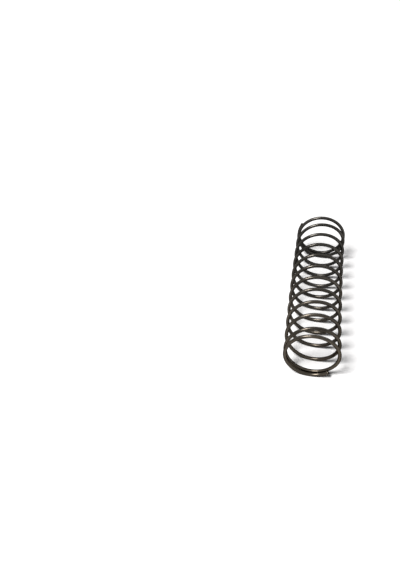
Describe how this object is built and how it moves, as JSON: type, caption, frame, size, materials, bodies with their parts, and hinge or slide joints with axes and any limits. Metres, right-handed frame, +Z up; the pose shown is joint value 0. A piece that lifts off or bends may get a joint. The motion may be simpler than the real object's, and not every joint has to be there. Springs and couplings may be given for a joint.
{
  "type": "compression spring",
  "caption": "Helical compression spring of round steel wire, wound right-handed, with closed unground ends and plain sheared tips.",
  "frame": {"origin": "on the surface that the spring lies on, below the middle of its length", "axes": "+Y along the coil's axis towards the rear end, +Z up, away from the surface it lies on"},
  "size_m": [0.0234, 0.083, 0.023],
  "materials": {
    "spring_steel": "dark hard-drawn spring steel with fine drawing lines along the wire and a thin film of oil"
  },
  "bodies": {
    "root": {"spring_wire": "spring_steel"}
  },
  "joints": []
}
